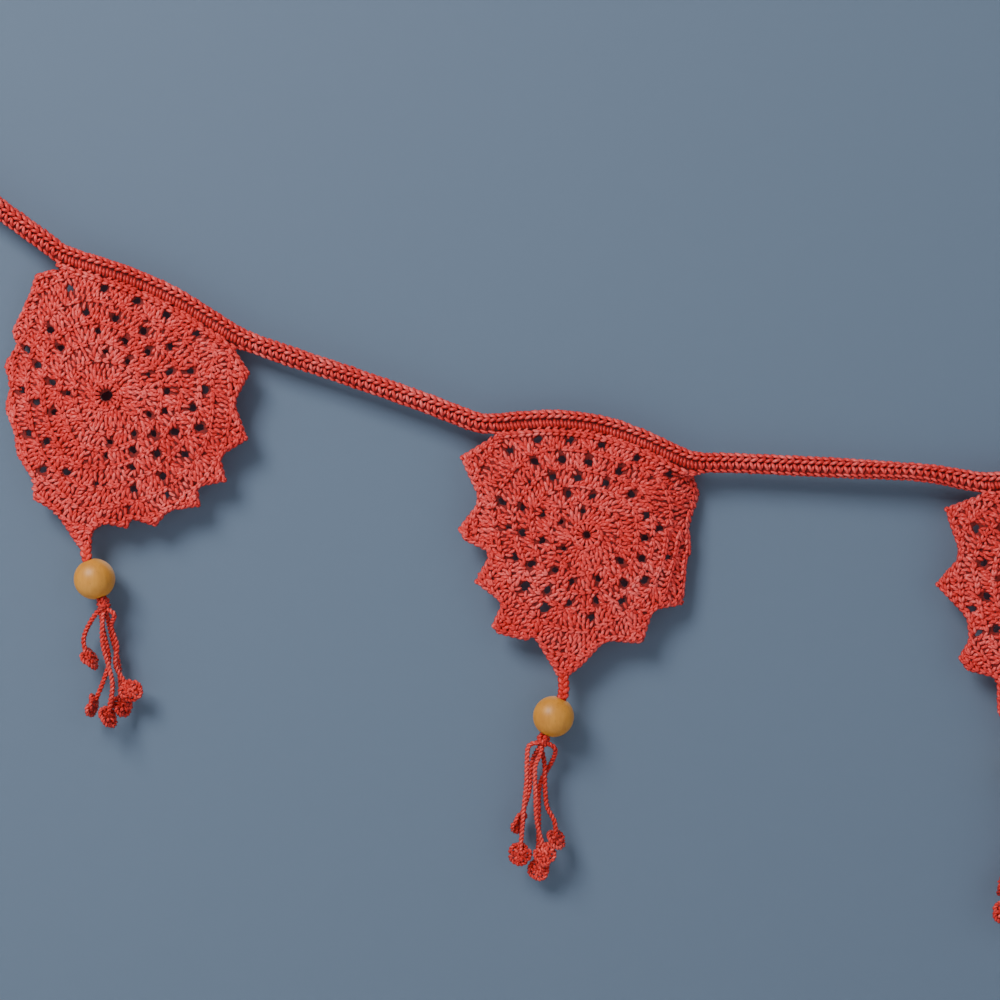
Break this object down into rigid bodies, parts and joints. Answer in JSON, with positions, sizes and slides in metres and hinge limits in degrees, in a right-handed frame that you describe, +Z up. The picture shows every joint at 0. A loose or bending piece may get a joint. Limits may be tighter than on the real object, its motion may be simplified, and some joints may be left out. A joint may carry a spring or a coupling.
{
  "type": "toran door hanging",
  "caption": "Crocheted door garland: a sagging band with round pointed pennants, each ending in a wooden bead and a small tassel.",
  "frame": {"origin": "where a nail bears in the left hanging eye, at its outer end", "axes": "+X along the garland to the right, +Y back towards the wall, +Z up"},
  "size_m": [0.5646, 0.0167, 0.32],
  "materials": {
    "coral_cotton": "mercerised cotton yarn, crocheted, soft sheen",
    "coral_cord": "mercerised cotton yarn, twisted and wrapped",
    "pale_wood": "turned pale wood, thin satin varnish"
  },
  "bodies": {
    "root": {"band": "coral_cotton", "eye_left": "coral_cotton", "eye_right": "coral_cotton", "pennant_1": "coral_cotton", "pennant_2": "coral_cotton", "pennant_3": "coral_cotton", "neck_1": "coral_cord", "neck_2": "coral_cord", "neck_3": "coral_cord", "bead_1": "pale_wood", "bead_2": "pale_wood", "bead_3": "pale_wood", "tassel_1": "coral_cord", "tassel_2": "coral_cord", "tassel_3": "coral_cord"}
  },
  "joints": []
}
